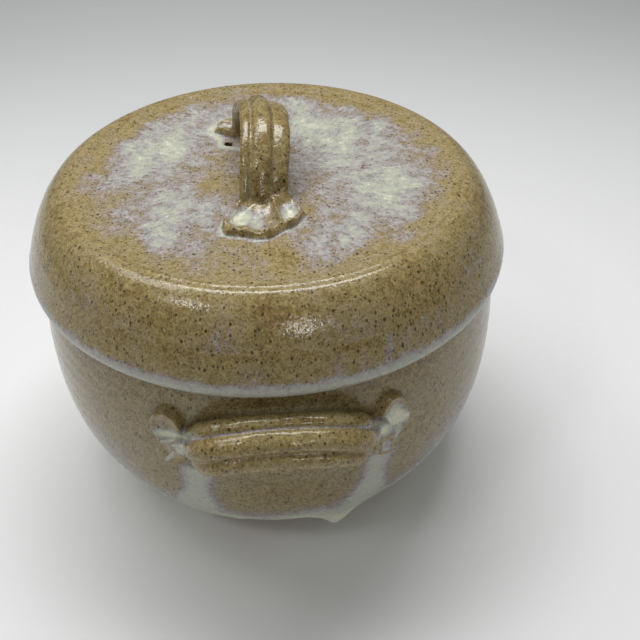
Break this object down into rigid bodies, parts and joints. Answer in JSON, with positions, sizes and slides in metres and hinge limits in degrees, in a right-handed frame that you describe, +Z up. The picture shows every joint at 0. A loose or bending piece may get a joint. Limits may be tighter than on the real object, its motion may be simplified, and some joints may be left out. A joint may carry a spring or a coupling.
{
  "type": "lidded stoneware casserole",
  "caption": "Hand-thrown stoneware casserole with a cap lid, an arched strap handle on the lid and two ribbed side handles, in a speckled tan and milky blue glaze",
  "frame": {"origin": "On the table, on the bowl's axis, under the middle of the foot ring", "axes": "+Z up, +Y from the front side handle to the rear one, +X to the right seen from the front"},
  "size_m": [0.25, 0.2906, 0.2086],
  "materials": {
    "body_glaze": "gloss",
    "side_handle_front_glaze": "gloss",
    "side_handle_rear_glaze": "gloss",
    "lid_glaze": "gloss",
    "lid_handle_glaze": "gloss"
  },
  "bodies": {
    "pot": {"pot_body": "body_glaze", "side_handle_front": "side_handle_front_glaze", "side_handle_rear": "side_handle_rear_glaze"},
    "lid": {"lid": "lid_glaze", "lid_handle": "lid_handle_glaze"}
  },
  "joints": [
    {"name": "lid_lift", "type": "slide", "parent": "pot", "child": "lid", "axis": [0, 0, 1], "range_m": [0, 0.12]}
  ]
}
